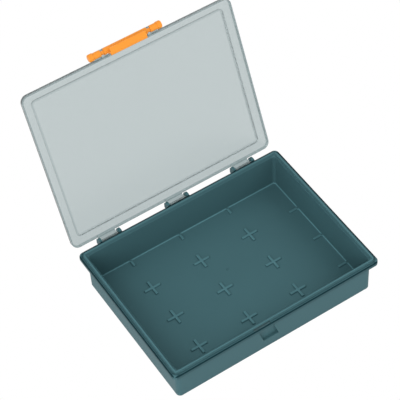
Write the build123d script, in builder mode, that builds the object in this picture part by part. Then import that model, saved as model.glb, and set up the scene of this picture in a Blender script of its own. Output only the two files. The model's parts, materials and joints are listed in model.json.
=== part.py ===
"""Assortment case: open tray with a clip-on see-through lid and a swinging latch.

Millimetres, +Z up, X along the long side, the front with the latch faces -Y.
The origin is the middle of the flat underside of the tray.
Three mouldings: case_base, lid and latch, each its own solid, in the open rest pose.
"""
import math
import os

from build123d import *

# Tray rim
rim_length = 241.6
rim_depth = 180.4
rim_corner = 5.5
ledge_level = 45.7
rim_drop = 5.0
rim_edge_round = 2.0

# Raised lip inside the rim, with a slope down to the inner walls
lip_inset = 3.4
lip_width = 1.8
lip_rise = 1.6
lip_corner = 4.5
slope_drop = 2.6

# Tray walls and floor
wall_inset = 5.8
wall_corner = 5.0
wall = 1.6
draft = 0.4
floor_thickness = 2.6
bottom_round = 1.0
floor_round = 1.2

# Groove round the rim that takes the skirt of the lid, and the channel under the rim
groove_inset = 0.9
groove_width = 1.8
groove_deep = 1.0
rim_skin = 1.4
channel_deep = 2.7

# Raised crosses on the floor and the round gate mark between them
cross_pitch_x = 59.4
cross_pitch_y = 43.4
cross_shift_x = -7.7
cross_shift_y = -3.8
cross_arm = 19.0
cross_width = 3.4
cross_rise = 1.5
cross_draft = 24
gate_mark_x = 8.3
gate_mark_y = 15.8
gate_mark_radius = 1.5
gate_mark_rise = 0.25

# Slanted catch pocket in the front wall and the slot above it in the ledge
pocket_bottom_level = 13.2
pocket_left = -15.2
pocket_width = 17.9
pocket_lean = 8.3
pocket_deep = 3.0
pocket_step = 1.0
slot_left = -28.2
slot_width = 18.9

# Hinge: three bars between lugs on the tray, three clips on the lid
hinge_spacing = 81.0
hinge_setback = 2.8
hinge_drop = 5.9
clip_width = 19.6
clip_side_gap = 0.4
hinge_bar_radius = 1.2
hinge_clearance = 0.1
clip_wall = 1.2
clip_mouth = 2.1
lug_thickness = 2.8
lug_radius = 5.6
lug_root = 4.4
lug_sink = 0.5
open_angle = 112.0
stop_distance = 3.4
stop_plate = 1.4
stop_reach = 2.8
arm_gap = 0.8
arm_thickness = 2.0

# Lid
lid_corner = 7.8
lid_gap = 0.3
lid_plate = 1.6
skirt_thickness = 1.2
skirt_side_gap = 0.3
panel_half_length = 108.4
panel_half_depth = 78.0
panel_corner = 3.0
panel_rise = 2.0
panel_draft = 12

# Latch, hung on the front edge of the lid
latch_gap = 0.3
latch_rise = 1.4
latch_half_length = 41.5
latch_bar_radius = 3.5
knob_radius = 4.0
knob_length = 5.0
knob_round = 1.2
latch_plate_half = 20.5
latch_plate = 2.2
hook_reach = 1.8
hook_thickness = 2.3
finger_lip = 3.6
finger_lip_thickness = 1.9
journal_radius = 2.5
journal_middle = 26.5
journal_half = 1.8
journal_side_gap = 0.3
mouth_drop = 1.2
latch_rest_swing = 21.0

# Levels and outlines worked out from the driving sizes
rim_bottom = ledge_level - rim_drop
lip_level = ledge_level + lip_rise
groove_level = ledge_level - groove_deep
channel_top = rim_bottom + channel_deep
rim_half_depth = rim_depth / 2
wall_half_depth = rim_half_depth - wall_inset
lip_inside = lip_inset + lip_width
inner_inset = wall_inset + wall
slope_run = inner_inset - lip_inside
slope_taper = math.degrees(math.atan2(slope_run, slope_drop))
inside_corner = wall_corner - wall
hinge_y = rim_half_depth + hinge_setback
hinge_z = ledge_level - hinge_drop
hinge_axis = Axis((0, hinge_y, hinge_z), (1, 0, 0))
hinge_places = (-hinge_spacing, 0, hinge_spacing)
clip_bore = hinge_bar_radius + hinge_clearance
clip_radius = clip_bore + clip_wall
lug_offset = clip_width / 2 + clip_side_gap + lug_thickness / 2
stop_level = hinge_z - stop_distance
skirt_inset = groove_inset + skirt_side_gap
lid_level = lip_level + lid_gap
lid_top = lid_level + lid_plate
skirt_level = groove_level + lid_gap
skirt_half_depth = rim_half_depth - skirt_inset
latch_y = -(rim_half_depth + latch_gap + knob_radius)
latch_level = ledge_level + latch_rise
latch_axis = Axis((0, latch_y, latch_level), (1, 0, 0))
hook_top = rim_bottom - latch_gap
hook_bottom = hook_top - hook_thickness
hook_tip_y = -rim_half_depth + hook_reach


def outline(inset, corner):
    """Rounded rectangle one distance inside the outer edge of the rim."""
    RectangleRounded(rim_length - 2 * inset, rim_depth - 2 * inset, corner)


def ring(inset, corner, width):
    """Band of one width inside a rounded rectangle."""
    outline(inset, corner)
    far_inset = inset + width
    RectangleRounded(rim_length - 2 * far_inset, rim_depth - 2 * far_inset,
                     corner - width, mode=Mode.SUBTRACT)


def from_open(y, z):
    """Turns a point of the open lid, seen from the hinge line, back to the shut lid."""
    turn = math.radians(open_angle)
    back_y = y * math.cos(turn) - z * math.sin(turn)
    back_z = y * math.sin(turn) + z * math.cos(turn)
    return (hinge_y + back_y, hinge_z + back_z)


def pocket_outline(grow):
    """Four corners of the slanted pocket on the front wall, grown evenly in X and down in Z."""
    left = pocket_left - grow
    right = pocket_left + pocket_width + grow
    bottom = pocket_bottom_level - grow
    return [(left, bottom), (right, bottom),
            (right - pocket_lean, rim_bottom), (left - pocket_lean, rim_bottom)]


# Tray: drafted box, rim with a rounded outer edge, inner lip
with BuildPart() as case_base:
    with BuildSketch(Plane.XY.offset(rim_bottom)):
        outline(wall_inset, wall_corner)
    extrude(amount=-rim_bottom, taper=draft)
    fillet(case_base.edges().group_by(Axis.Z)[0], radius=bottom_round)
    with BuildSketch(Plane.XY.offset(rim_bottom)):
        outline(0, rim_corner)
    extrude(amount=rim_drop)
    fillet(case_base.edges().group_by(Axis.Z)[-1], radius=rim_edge_round)
    with BuildSketch(Plane.XY.offset(ledge_level)):
        outline(lip_inset, lip_corner)
    extrude(amount=lip_rise)

    # Hollow of the tray: slope under the lip, then drafted walls and a small round at the floor
    with BuildSketch(Plane.XY.offset(lip_level)):
        outline(lip_inside, inside_corner + slope_run)
    extrude(amount=-slope_drop, taper=slope_taper, mode=Mode.SUBTRACT)
    slope_level = lip_level - slope_drop
    with BuildSketch(Plane.XY.offset(slope_level)):
        outline(inner_inset, inside_corner)
    extrude(amount=-(slope_level - floor_thickness), taper=draft, mode=Mode.SUBTRACT)
    floor_face = case_base.faces().filter_by(Axis.Z).filter_by_position(
        Axis.Z, floor_thickness - 0.1, floor_thickness + 0.1)[0]
    fillet(floor_face.edges(), radius=floor_round)

    # Channel under the rim, open downwards, and the groove in the top of the rim
    with BuildSketch(Plane.XY.offset(rim_bottom)):
        outline(rim_skin, rim_corner - rim_skin)
        RectangleRounded(rim_length - 2 * wall_inset, rim_depth - 2 * wall_inset,
                         wall_corner, mode=Mode.SUBTRACT)
    extrude(amount=channel_deep, mode=Mode.SUBTRACT)
    with BuildSketch(Plane.XY.offset(groove_level)):
        ring(groove_inset, lid_corner + skirt_side_gap, groove_width)
    extrude(amount=groove_deep, mode=Mode.SUBTRACT)

    # Catch pocket: the wall steps inwards behind it so its thickness stays the same
    pad_y = wall_half_depth - pocket_step
    pocket_y = wall_half_depth - pocket_deep
    with BuildSketch(Plane.XZ.offset(pad_y)):
        with BuildLine():
            Polyline(pocket_outline(wall), close=True)
        make_face()
    extrude(amount=-(pad_y - pocket_y + wall))
    with BuildSketch(Plane.XZ.offset(pocket_y)):
        with BuildLine():
            Polyline(pocket_outline(0), close=True)
        make_face()
    extrude(amount=wall_inset, mode=Mode.SUBTRACT)
    slot_front = rim_half_depth - rim_skin
    slot_back = rim_half_depth - lip_inset
    with BuildSketch(Plane.XY.offset(channel_top)):
        with Locations((slot_left + slot_width / 2, -(slot_front + slot_back) / 2)):
            Rectangle(slot_width, slot_front - slot_back)
    extrude(amount=ledge_level - channel_top, mode=Mode.SUBTRACT)

    # Floor crosses: nine whole ones, and single arms that run into the back and right walls
    columns = [cross_shift_x + column * cross_pitch_x for column in (-1, 0, 1, 2)]
    rows = [cross_shift_y + row * cross_pitch_y for row in (-1, 0, 1, 2)]
    long_arms = [(x, y) for x in columns for y in rows[:3]]
    cross_arms = [(x, y) for x in columns[:3] for y in rows]
    with BuildSketch(Plane.XY.offset(floor_thickness)):
        with Locations(*long_arms):
            Rectangle(cross_arm, cross_width)
        with Locations(*cross_arms):
            Rectangle(cross_width, cross_arm)
        Rectangle(rim_length - 2 * inner_inset, rim_depth - 2 * inner_inset, mode=Mode.INTERSECT)
    extrude(amount=cross_rise, taper=cross_draft)
    with BuildSketch(Plane.XY.offset(floor_thickness)):
        with Locations((gate_mark_x, gate_mark_y)):
            Circle(gate_mark_radius)
    extrude(amount=gate_mark_rise)

    # Hinge lugs: each a rib that runs from the wall, under the rim, to the hinge line
    lug_foot = wall_half_depth - lug_sink
    lug_face = rim_half_depth - rim_edge_round
    for place in hinge_places:
        for side in (-1, 1):
            lug_start = place + side * lug_offset - lug_thickness / 2
            with BuildSketch(Plane.YZ.offset(lug_start)):
                with BuildLine():
                    Polyline(
                        (lug_foot, rim_bottom - lug_root),
                        (hinge_y + lug_radius, stop_level - stop_plate),
                        (hinge_y + lug_radius, hinge_z),
                        (hinge_y, hinge_z + lug_radius),
                        (lug_face, groove_level - lug_sink),
                        (lug_foot, channel_top),
                        close=True)
                make_face()
                with Locations((hinge_y, hinge_z)):
                    Circle(lug_radius)
            extrude(amount=lug_thickness)
        # Bar between the two lugs, and the plate the open lid rests on
        with BuildSketch(Plane.YZ.offset(place - lug_offset)):
            with Locations((hinge_y, hinge_z)):
                Circle(hinge_bar_radius)
        extrude(amount=2 * lug_offset)
        with BuildSketch(Plane.YZ.offset(place - lug_offset)):
            with BuildLine():
                Polyline(
                    (lug_foot, stop_level),
                    (hinge_y + stop_reach, stop_level),
                    (hinge_y + stop_reach, stop_level - stop_plate),
                    (lug_foot, stop_level - stop_plate),
                    close=True)
            make_face()
        extrude(amount=2 * lug_offset)

# Lid, built shut
with BuildPart() as lid:
    with BuildSketch(Plane.XY.offset(lid_level)):
        outline(skirt_inset, lid_corner)
    extrude(amount=lid_plate)
    with BuildSketch(Plane.XY.offset(lid_top)):
        RectangleRounded(2 * (panel_half_length + lid_plate), 2 * (panel_half_depth + lid_plate),
                         panel_corner + lid_plate)
    extrude(amount=panel_rise, taper=panel_draft)
    with BuildSketch(Plane.XY.offset(lid_level)):
        RectangleRounded(2 * panel_half_length, 2 * panel_half_depth, panel_corner)
    extrude(amount=panel_rise, taper=panel_draft, mode=Mode.SUBTRACT)
    with BuildSketch(Plane.XY.offset(skirt_level)):
        ring(skirt_inset, lid_corner, skirt_thickness)
    extrude(amount=lid_level - skirt_level)

    # Hinge clips: a ring open at the bottom, an arm to the lid and a heel that stops it open
    arm_low = ledge_level + lid_gap
    arm_front = rim_half_depth + arm_gap
    arm_root = skirt_half_depth - skirt_thickness
    for place in hinge_places:
        with BuildSketch(Plane.YZ.offset(place - clip_width / 2)):
            with BuildLine():
                Polyline(
                    (arm_root, arm_low),
                    (arm_front, arm_low),
                    (arm_front, hinge_z),
                    from_open(0, -stop_distance),
                    from_open(stop_reach, -stop_distance),
                    (arm_front + arm_thickness, arm_low),
                    (skirt_half_depth, lid_top),
                    (arm_root, lid_top),
                    close=True)
            make_face()
            with Locations((hinge_y, hinge_z)):
                Circle(clip_radius)
                Circle(clip_bore, mode=Mode.SUBTRACT)
            with Locations((hinge_y, hinge_z - clip_radius)):
                Rectangle(clip_mouth, 2 * clip_radius, mode=Mode.SUBTRACT)
        extrude(amount=clip_width)

    # Two open clips on the front edge that carry the latch
    latch_clip_half = journal_half - journal_side_gap
    latch_clip_bore = journal_radius + hinge_clearance
    mouth_level = latch_level - mouth_drop
    for side in (-1, 1):
        with BuildSketch(Plane.YZ.offset(side * journal_middle - latch_clip_half)):
            with Locations((latch_y, latch_level)):
                Circle(latch_bar_radius)
            with BuildLine():
                Polyline(
                    (latch_y, lid_top),
                    (-arm_root, lid_top),
                    (-arm_root, arm_low),
                    (latch_y, arm_low),
                    close=True)
            make_face()
            with Locations((latch_y, latch_level)):
                Circle(latch_clip_bore, mode=Mode.SUBTRACT)
            with Locations((latch_y, mouth_level - latch_bar_radius)):
                Rectangle(2 * latch_bar_radius, 2 * latch_bar_radius, mode=Mode.SUBTRACT)
        extrude(amount=2 * latch_clip_half)

    # Ledges that fill the gap behind the latch bar, between its plate and its knobs
    ledge_start = latch_plate_half + latch_gap
    ledge_end = latch_half_length - knob_length - latch_gap
    ledge_front = latch_y + latch_bar_radius + latch_gap
    for side in (-1, 1):
        with BuildSketch(Plane.XY.offset(lid_level)):
            with Locations((side * (ledge_start + ledge_end) / 2, (ledge_front - arm_root) / 2)):
                Rectangle(ledge_end - ledge_start, -arm_root - ledge_front)
        extrude(amount=lid_plate)

# Latch, built shut and hooked under the rim
with BuildPart() as latch:
    with BuildSketch(Plane.YZ.offset(-latch_half_length)):
        with Locations((latch_y, latch_level)):
            Circle(latch_bar_radius)
    extrude(amount=2 * latch_half_length)
    for start in (-latch_half_length, latch_half_length - knob_length):
        with BuildSketch(Plane.YZ.offset(start)):
            with Locations((latch_y, latch_level)):
                Circle(knob_radius)
        extrude(amount=knob_length)
    end_edges = latch.edges().group_by(Axis.X)[0] + latch.edges().group_by(Axis.X)[-1]
    fillet(end_edges, radius=knob_round)

    # Journals the lid clips sit on
    for side in (-1, 1):
        with BuildSketch(Plane.YZ.offset(side * journal_middle - journal_half)):
            with Locations((latch_y, latch_level)):
                Circle(knob_radius)
                Circle(journal_radius, mode=Mode.SUBTRACT)
        extrude(amount=2 * journal_half, mode=Mode.SUBTRACT)

    # Middle plate with the hook behind and the finger lip in front
    plate_back = -(rim_half_depth + latch_gap)
    plate_front = plate_back - latch_plate
    lip_bottom = hook_bottom - hook_thickness / 2
    with BuildSketch(Plane.YZ.offset(-latch_plate_half)):
        with BuildLine():
            Polyline(
                (plate_back, latch_level),
                (plate_back, hook_top),
                (hook_tip_y, hook_top),
                (hook_tip_y, hook_top - hook_thickness / 2),
                (plate_back, hook_bottom),
                (plate_front - finger_lip, lip_bottom),
                (plate_front - finger_lip, lip_bottom + finger_lip_thickness),
                (plate_front, hook_bottom + finger_lip_thickness),
                (plate_front, latch_level),
                close=True)
        make_face()
    extrude(amount=2 * latch_plate_half)

# Rest pose: the latch swung clear of the rim, then lid and latch turned open together
base_part = case_base.part
lid_part = lid.part.rotate(hinge_axis, -open_angle)
latch_part = latch.part.rotate(latch_axis, -latch_rest_swing).rotate(hinge_axis, -open_angle)

os.makedirs("parts", exist_ok=True)
for name, piece in (("case_base", base_part), ("lid", lid_part), ("latch", latch_part)):
    piece.label = name
    export_step(piece, f"parts/{name}.step")
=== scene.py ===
"""Studio picture of the assortment case: materials, light, floor and camera."""

import json
import math

import bpy
from mathutils import Matrix, Vector


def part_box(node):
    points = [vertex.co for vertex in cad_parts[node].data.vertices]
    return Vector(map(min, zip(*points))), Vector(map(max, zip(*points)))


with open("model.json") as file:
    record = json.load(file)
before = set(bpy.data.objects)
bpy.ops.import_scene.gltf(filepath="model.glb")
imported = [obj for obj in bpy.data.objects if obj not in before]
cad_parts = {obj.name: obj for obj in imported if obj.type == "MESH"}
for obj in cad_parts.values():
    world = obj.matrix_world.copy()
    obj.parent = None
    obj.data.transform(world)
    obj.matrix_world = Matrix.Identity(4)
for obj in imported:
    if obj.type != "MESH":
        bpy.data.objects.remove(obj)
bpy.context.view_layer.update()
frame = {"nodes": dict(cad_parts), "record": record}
nodes = frame["nodes"]

# Camera, as the photo sees the case: angles in degrees, places in metres, lens in millimetres
camera_azimuth = -30.767
camera_elevation = 50.123
camera_roll = -3.6
camera_distance = 1.78976
camera_target = Vector((0.06829, 0.11918, 0.0))
camera_lens = 150.94
camera_sensor = 36.0
camera_shift_x = -0.05145
camera_shift_y = -0.047
camera_near = 0.05
camera_far = 50.0

# Floor, and a studio that is white round the horizon and darker high up on the camera's side
white = (1.0, 1.0, 1.0)
floor_grey = (0.88, 0.88, 0.88)
floor_side = 8.0
horizon_low = math.sin(math.radians(14))
horizon_high = math.sin(math.radians(34))
horizon_strength = 1.0
ceiling_strength = 0.85
dark_strength = 0.45
dark_azimuth = -31
dark_elevation = 48
dark_edge = math.cos(math.radians(78))
dark_heart = math.cos(math.radians(42))

# Lamps: power in watts, sides and places in metres
key_power = 33.0
key_size = 2.0
key_place = Vector((-1.20, -1.0, 1.5))
fill_power = 9.0
fill_size = 1.4
fill_place = Vector((1.3, -0.3, 1.6))
lamp_aim = Vector((0.0, 0.0, 0.05))

# Colours, linear, with the deep colours that painted shade lines turn to
teal = (0.053, 0.125, 0.141)
# painted shade: the deep teal that the painted dark lines of the tray turn to
painted_shade_teal = (0.005, 0.028, 0.035)
orange = (0.80, 0.285, 0.036)
lid_tint = (0.525, 0.588, 0.593)
# painted shade: the deep tint that the painted dark lines of the lid turn to
painted_shade_tint = (0.09, 0.17, 0.18)

# Finish of the mouldings: broad patches of shade and roughness, fine grain, rounded edges
moulded_ior = 1.5
patch_scale = 14.0
patch_shade = 0.06
patch_rough = 0.06
grain_detail = 3.0
grain_height = 0.0002
edge_samples = 8

# Finish of the see-through lid
lid_ior = 1.49
lid_rough = 0.24
lid_patch_scale = 9.0
lid_patch_shade = 0.01

# A tone is painted shade below 0, making a surface darker, and painted highlight above it, making it
# lighter, with soft ends of one step
tone_step = 0.0003

# Outline and levels of the rim, from the tray's own box: its lip, its ledge and its lower edge
base_low, base_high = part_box("case_base")
lip_rise = 0.0016
rim_drop = 0.005
rim_half_length = base_high.x
rim_half_depth = -base_low.y
ledge_level = base_high.z - lip_rise
rim_bottom = ledge_level - rim_drop

# Strips of the rim, by how far inside its outline or below its ledge they lie, and their tones of
# painted shade and painted highlight
# painted shade: a dark line on the rim's rounded outer edge, where light falls off
edge_width = 0.0012
edge_fade = 0.00036
edge_height = 0.0014
edge_height_fade = 0.0007
painted_edge_shade = -1.0
# painted shade: the rim's outer face made darker than the wall below it
face_width = 0.00024
painted_face_shade = -0.38
# painted highlight: a light strip along the outer side of the groove
strip_start = 0.00168
painted_strip_highlight = 0.25
# painted shade: the groove made darker, as shade falls in it
groove_start = 0.0020
groove_end = 0.0034
painted_groove_shade = -0.35
# painted highlight: a light line along the lip's inner top edge
lip_start = 0.0043
lip_end = 0.0056
painted_lip_highlight = 0.28
# painted shade: the inner slope below the lip made darker
slope_start = 0.0052
slope_height = 0.0012
painted_slope_shade = -0.30
wall_inside = 0.0070

# Floor of the tray inside its walls: by height, painted shade at the feet of its ribs, painted highlight
# on their sides and on the round at its edge
floor_edge = 0.0094
# painted shade at the feet of the ribs and painted highlight on their sides
foot_low = 0.00305
rib_low = 0.0032
rib_high = 0.0038
rib_end = 0.0048
painted_foot_shade = -0.60
painted_rib_highlight = 0.50
# painted highlight: a light line on the round where the floor joins the walls
join_low = 0.0029
join_high = 0.0038
painted_join_highlight = 0.80

# Hinge line of the lid. The shut lid has its middle over the tray's, which is at 0
joints = {joint["name"]: joint for joint in frame["record"]["behaviour"]["joints"]}
hinge_place = joints["lid_hinge"]["pos_m"]
lid_open = math.radians(joints["lid_hinge"]["range_deg"][1])
lid_middle = hinge_place[1]

# Outlines of the lid and of its raised panel, the painted shade lines along them, and the painted shade
# of the hinge clips
lid_inset = 0.0012
lid_half_length = rim_half_length - lid_inset
lid_half_depth = rim_half_depth - lid_inset
lid_corner = 0.0078
# painted shade: a dark line along the lid's edge, where it is seen through edge-on
lid_line = 0.0013
painted_lid_line_shade = -0.50
panel_half_length = 0.1092
panel_half_depth = 0.0788
panel_corner = 0.0030
# painted shade: a dark line along the step of the raised panel
panel_line = 0.0011
painted_panel_line_shade = -0.22
# painted shade: the hinge clips made darker, as the dark tray shows through them
clip_reach = 0.0035
painted_clip_shade = -0.35


def feed(tree, value, socket):
    """Links a socket to another one, or sets it to a number, a vector or an opaque colour."""
    if isinstance(value, bpy.types.NodeSocket):
        tree.links.new(value, socket)
    elif socket.type == "RGBA":
        socket.default_value = (*value, 1.0)
    else:
        socket.default_value = value


def add(tree, kind, inputs, **settings):
    """Adds a node with its settings and inputs."""
    node = tree.nodes.new(kind)
    for name, value in settings.items():
        setattr(node, name, value)
    for name, value in inputs.items():
        feed(tree, value, node.inputs[name])
    return node


def new_material(name):
    """Empty node material."""
    material = bpy.data.materials.new(name)
    material.use_nodes = True
    material.node_tree.nodes.clear()
    return material, material.node_tree


def show(tree, surface):
    """Puts a shader on the surface of a material."""
    add(tree, "ShaderNodeOutputMaterial", {"Surface": surface})


def either(tree, choice, first, second):
    """The first shader where the choice is 0 and the second where it is 1."""
    return add(tree, "ShaderNodeMixShader", {"Fac": choice, 1: first, 2: second}).outputs["Shader"]


def combine(tree, operation, *values):
    """One math step on sockets or plain numbers."""
    return add(tree, "ShaderNodeMath", dict(enumerate(values)), operation=operation).outputs["Value"]


def product(tree, first, *others):
    """Product of sockets or plain numbers."""
    for value in others:
        first = combine(tree, "MULTIPLY", first, value)
    return first


def total(tree, first, *others):
    """Sum of sockets or plain numbers."""
    for value in others:
        first = combine(tree, "ADD", first, value)
    return first


def blend(tree, source, start, end, low, high):
    """Smooth step from low to high as a value goes from start to end."""
    levels = {"Value": source, "From Min": start, "From Max": end, "To Min": low, "To Max": high}
    return add(tree, "ShaderNodeMapRange", levels, interpolation_type="SMOOTHSTEP").outputs["Result"]


def band(tree, source, start, end, level):
    """A level between two values and nothing outside them, with short soft ends."""
    rise = blend(tree, source, start - tone_step, start, 0.0, level)
    return product(tree, rise, blend(tree, source, end, end + tone_step, 1.0, 0.0))


def object_place(tree):
    """Place of the shaded point on its own object."""
    return add(tree, "ShaderNodeTexCoord", {}).outputs["Object"]


def object_axes(tree):
    """X, Y and Z of the shaded point on its own object."""
    axes = add(tree, "ShaderNodeSeparateXYZ", {"Vector": object_place(tree)})
    return [axes.outputs[name] for name in "XYZ"]


def noise(tree, scale, detail=4.0, rough=0.55):
    """Noise of 0 to 1 that stays with the object."""
    inputs = {"Vector": object_place(tree), "Scale": scale, "Detail": detail, "Roughness": rough}
    return add(tree, "ShaderNodeTexNoise", inputs).outputs["Fac"]


def around(tree, source, middle, spread):
    """Maps 0 to 1 on to a middle value, less and more by the spread."""
    levels = {"Value": source, "To Min": middle - spread, "To Max": middle + spread}
    return add(tree, "ShaderNodeMapRange", levels).outputs["Result"]


def mixed(tree, factor, first, second, way="MIX"):
    """Two colours brought together: the first where the factor is 0, the second mixed in above it."""
    inputs = {"Factor": factor, "A": first, "B": second}
    return add(tree, "ShaderNodeMix", inputs, data_type="RGBA", blend_type=way).outputs["Result"]


def shaded(tree, colour, shade):
    """A colour made darker and lighter by a factor."""
    return mixed(tree, 1.0, colour, shade, way="MULTIPLY")


def toned(tree, colour, deep, shade, tone):
    """A colour that gets lighter with a tone above 0 and turns to the deep colour below it: painted
    highlight and painted shade.
    """
    factor = total(tree, tone, 1.0)
    lighter = product(tree, shade, combine(tree, "MAXIMUM", factor, 1.0))
    darkness = combine(tree, "MAXIMUM", combine(tree, "SUBTRACT", 1.0, factor), 0.0)
    return mixed(tree, darkness, shaded(tree, colour, lighter), deep)


def past_half(tree, axis, half):
    """How far a point lies past the end of a length that is centred on 0."""
    return combine(tree, "SUBTRACT", combine(tree, "ABSOLUTE", axis), half)


def past_outline(tree, across, along, half_length, half_depth, corner):
    """How far a point lies outside a rectangle with round corners, less than 0 inside it."""
    out_x = combine(tree, "SUBTRACT", across, half_length - corner)
    out_y = combine(tree, "SUBTRACT", along, half_depth - corner)
    square_x = combine(tree, "POWER", combine(tree, "MAXIMUM", out_x, 0.0), 2.0)
    square_y = combine(tree, "POWER", combine(tree, "MAXIMUM", out_y, 0.0), 2.0)
    outside = combine(tree, "SQRT", total(tree, square_x, square_y))
    inside = combine(tree, "MINIMUM", combine(tree, "MAXIMUM", out_x, out_y), 0.0)
    return combine(tree, "SUBTRACT", total(tree, outside, inside), corner)


def rim_painted_light(tree, past, height):
    """Painted light of the rim: painted shade on the outer edge, face, groove and slope, painted
    highlight on a strip in the groove and on the lip.
    """
    off_lugs = blend(tree, past, tone_step, 2 * tone_step, 1.0, 0.0)
    edge_level = ledge_level - edge_height
    edge = product(
        tree,
        blend(tree, past, -edge_width - edge_fade, -edge_width, 0.0, painted_edge_shade),
        blend(tree, height, edge_level - edge_height_fade, edge_level, 0.0, 1.0),
        off_lugs)
    face = product(
        tree,
        blend(tree, past, -face_width - edge_fade, -face_width, 0.0, painted_face_shade),
        off_lugs,
        blend(tree, height, rim_bottom - tone_step, rim_bottom, 0.0, 1.0))
    in_groove = band(tree, height, edge_level, ledge_level - tone_step, 1.0)
    groove = product(tree, band(tree, past, -groove_end, -groove_start, painted_groove_shade), in_groove)
    strip = product(tree, band(tree, past, -groove_start, -strip_start, painted_strip_highlight), in_groove)
    slope = product(
        tree,
        band(tree, past, -wall_inside, -slope_start, painted_slope_shade),
        blend(tree, height, rim_bottom, ledge_level - slope_height, 0.0, 1.0))
    lip = product(
        tree,
        band(tree, past, -lip_end, -lip_start, painted_lip_highlight),
        blend(tree, height, ledge_level, ledge_level + tone_step, 0.0, 1.0))
    return edge, face, groove, strip, slope, lip


def floor_painted_light(tree, past, height):
    """Painted light of the floor: painted highlight on the ribs with painted shade at their feet, and a
    painted highlight line where it joins the walls.
    """
    rib = product(
        tree,
        blend(tree, height, rib_low, rib_high, 0.0, painted_rib_highlight),
        blend(tree, height, rib_high, rib_end, 1.0, 0.0))
    foot = band(tree, height, foot_low, rib_low, painted_foot_shade)
    on_floor = blend(tree, past, -floor_edge - tone_step, -floor_edge, 1.0, 0.0)
    join = product(
        tree,
        blend(tree, past, -floor_edge - tone_step, -floor_edge, 0.0, painted_join_highlight),
        band(tree, height, join_low, join_high, 1.0),
        blend(tree, past, -wall_inside - tone_step, -wall_inside, 1.0, 0.0))
    return product(tree, total(tree, rib, foot), on_floor), join


def tray_painted_light(tree):
    """Painted shade and highlight of the tray, by height and by how far inside the outline of the rim a
    point lies.
    """
    across, along, height = object_axes(tree)
    past = combine(
        tree, "MAXIMUM",
        past_half(tree, across, rim_half_length),
        past_half(tree, along, rim_half_depth))
    tones = rim_painted_light(tree, past, height) + floor_painted_light(tree, past, height)
    return combine(tree, "MAXIMUM", total(tree, *tones), painted_edge_shade)


def lid_painted_shade(tree):
    """Painted shade of the lid: dark lines along its edge and its step, and darker hinge clips."""
    x, y, z = object_axes(tree)
    along = total(
        tree,
        product(tree, combine(tree, "SUBTRACT", y, hinge_place[1]), -math.cos(lid_open)),
        product(tree, combine(tree, "SUBTRACT", z, hinge_place[2]), math.sin(lid_open)))
    aside = combine(tree, "ABSOLUTE", x)
    from_middle = combine(tree, "ABSOLUTE", combine(tree, "SUBTRACT", along, lid_middle))
    to_edge = past_outline(tree, aside, from_middle, lid_half_length, lid_half_depth, lid_corner)
    to_step = past_outline(tree, aside, from_middle, panel_half_length, panel_half_depth, panel_corner)
    return total(
        tree,
        band(tree, to_edge, -lid_line, lid_line, painted_lid_line_shade),
        band(tree, to_step, -panel_line, panel_line, painted_panel_line_shade),
        blend(tree, along, clip_reach - tone_step, clip_reach, painted_clip_shade, 0.0))


def moulded(name, colour, rough, gloss, grain, grain_scale, edge, deep=None, tone=None):
    """Moulded plastic: fine grain, softly rounded edges, a slightly uneven finish, and painted shade and
    highlight where a tone is given.
    """
    material, tree = new_material(name)
    patches = noise(tree, patch_scale)
    shade = around(tree, patches, 1.0, patch_shade)
    base = toned(tree, colour, deep, shade, tone(tree)) if tone else shaded(tree, colour, shade)
    rounding = add(tree, "ShaderNodeBevel", {"Radius": edge}, samples=edge_samples)
    bump = add(tree, "ShaderNodeBump", {
        "Strength": grain,
        "Distance": grain_height,
        "Height": noise(tree, grain_scale, detail=grain_detail),
        "Normal": rounding.outputs["Normal"]})
    shader = add(tree, "ShaderNodeBsdfPrincipled", {
        "Base Color": base,
        "IOR": moulded_ior,
        "Specular IOR Level": gloss,
        "Roughness": around(tree, patches, rough, patch_rough),
        "Normal": bump.outputs["Normal"]})
    show(tree, shader.outputs["BSDF"])
    return material


def see_through(name):
    """Tinted see-through plastic, faintly frosted, with painted shade lines, that lets the lamps' light
    through.
    """
    material, tree = new_material(name)
    shade = around(tree, noise(tree, lid_patch_scale), 1.0, lid_patch_shade)
    shader = add(tree, "ShaderNodeBsdfPrincipled", {
        "Base Color": toned(tree, lid_tint, painted_shade_tint, shade, lid_painted_shade(tree)),
        "IOR": lid_ior,
        "Transmission Weight": 1.0,
        "Roughness": lid_rough})
    passed = tuple(math.sqrt(level) for level in lid_tint)
    passing = add(tree, "ShaderNodeBsdfTransparent", {"Color": passed})
    shadow_ray = add(tree, "ShaderNodeLightPath", {}).outputs["Is Shadow Ray"]
    show(tree, either(tree, shadow_ray, shader.outputs["BSDF"], passing.outputs["BSDF"]))
    return material


def white_ground(name):
    """White floor: plain white to the camera and through clear plastic, matte white to the light."""
    material, tree = new_material(name)
    matte = add(tree, "ShaderNodeBsdfDiffuse", {"Color": floor_grey})
    glow = add(tree, "ShaderNodeEmission", {"Color": white, "Strength": 1.0})
    path = add(tree, "ShaderNodeLightPath", {})
    rays = [path.outputs[f"Is {kind} Ray"] for kind in ("Camera", "Glossy", "Transmission")]
    seen = combine(tree, "MINIMUM", total(tree, *rays), 1.0)
    show(tree, either(tree, seen, matte.outputs["BSDF"], glow.outputs["Emission"]))
    return material


def give(node, material):
    """Puts one material on every slot of a node."""
    if not node.material_slots:
        node.data.materials.append(material)
    for slot in node.material_slots:
        slot.material = material


def pointing(azimuth, elevation):
    """Unit vector away from the case, in degrees round it from its front and up from the ground."""
    turn = math.radians(azimuth)
    rise = math.radians(elevation)
    return Vector((
        math.sin(turn) * math.cos(rise),
        -math.cos(turn) * math.cos(rise),
        math.sin(rise)))


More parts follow.
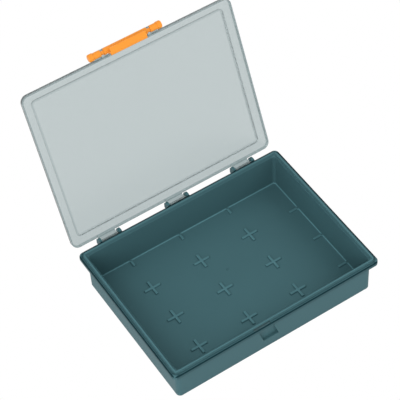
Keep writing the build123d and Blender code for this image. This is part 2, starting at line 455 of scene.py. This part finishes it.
def studio():
    """World: white round the horizon, a bright ceiling, darker high up on the camera's side."""
    world = bpy.data.worlds.new("studio")
    world.use_nodes = True
    sky = world.node_tree
    sky.nodes.clear()
    direction = add(sky, "ShaderNodeTexCoord", {}).outputs["Generated"]
    rise = add(sky, "ShaderNodeSeparateXYZ", {"Vector": direction}).outputs["Z"]
    to_dark = {0: direction, 1: pointing(dark_azimuth, dark_elevation)}
    nearness = add(sky, "ShaderNodeVectorMath", to_dark, operation="DOT_PRODUCT").outputs["Value"]
    ceiling = blend(sky, nearness, dark_edge, dark_heart, ceiling_strength, dark_strength)
    strength = blend(sky, rise, horizon_low, horizon_high, horizon_strength, ceiling)
    light = add(sky, "ShaderNodeBackground", {"Color": white, "Strength": strength})
    add(sky, "ShaderNodeOutputWorld", {"Surface": light.outputs["Background"]})
    return world


def lamp(name, place, power, size):
    """Square area light aimed at the middle of the case."""
    data = bpy.data.lights.new(name, "AREA")
    data.energy = power
    data.shape = "SQUARE"
    data.size = size
    holder = bpy.data.objects.new(name, data)
    holder.location = place
    holder.rotation_mode = "QUATERNION"
    holder.rotation_quaternion = (lamp_aim - place).to_track_quat("-Z", "Y")
    bpy.context.scene.collection.objects.link(holder)
    return holder


def photo_camera():
    """Camera that looks at its target, turned by its roll."""
    data = bpy.data.cameras.new("camera")
    data.lens = camera_lens
    data.sensor_width = camera_sensor
    data.shift_x = camera_shift_x
    data.shift_y = camera_shift_y
    data.clip_start = camera_near
    data.clip_end = camera_far
    back = pointing(camera_azimuth, camera_elevation)
    level_right = (-back).cross(Vector((0, 0, 1))).normalized()
    level_up = level_right.cross(-back)
    roll = math.radians(camera_roll)
    right = level_right * math.cos(roll) + level_up * math.sin(roll)
    up = level_up * math.cos(roll) - level_right * math.sin(roll)
    place = camera_target + back * camera_distance
    turned = Matrix((right, up, back)).transposed().to_4x4()
    camera = bpy.data.objects.new("camera", data)
    camera.matrix_world = Matrix.Translation(place) @ turned
    bpy.context.scene.collection.objects.link(camera)
    return camera


# Materials
# The tray's colour carries the painted shade and highlights of its rim and floor
give(nodes["case_base"], moulded(
    "teal_plastic", teal, rough=0.42, gloss=0.06, grain=0.25, grain_scale=900.0, edge=0.0005,
    deep=painted_shade_teal, tone=tray_painted_light))
give(nodes["lid"], see_through("clear_grey_plastic"))
give(nodes["latch"], moulded(
    "orange_plastic", orange, rough=0.30, gloss=0.12, grain=0.10, grain_scale=500.0, edge=0.0004))

# Floor, world and lamps
bpy.ops.mesh.primitive_plane_add(size=floor_side, location=(0, 0, 0))
ground = bpy.context.object
ground.name = "floor"
give(ground, white_ground("white_floor"))
bpy.context.scene.world = studio()
lamp("key", key_place, key_power, key_size)
lamp("fill", fill_place, fill_power, fill_size)

# Camera and view
bpy.context.scene.camera = photo_camera()
bpy.context.scene.view_settings.view_transform = "Standard"
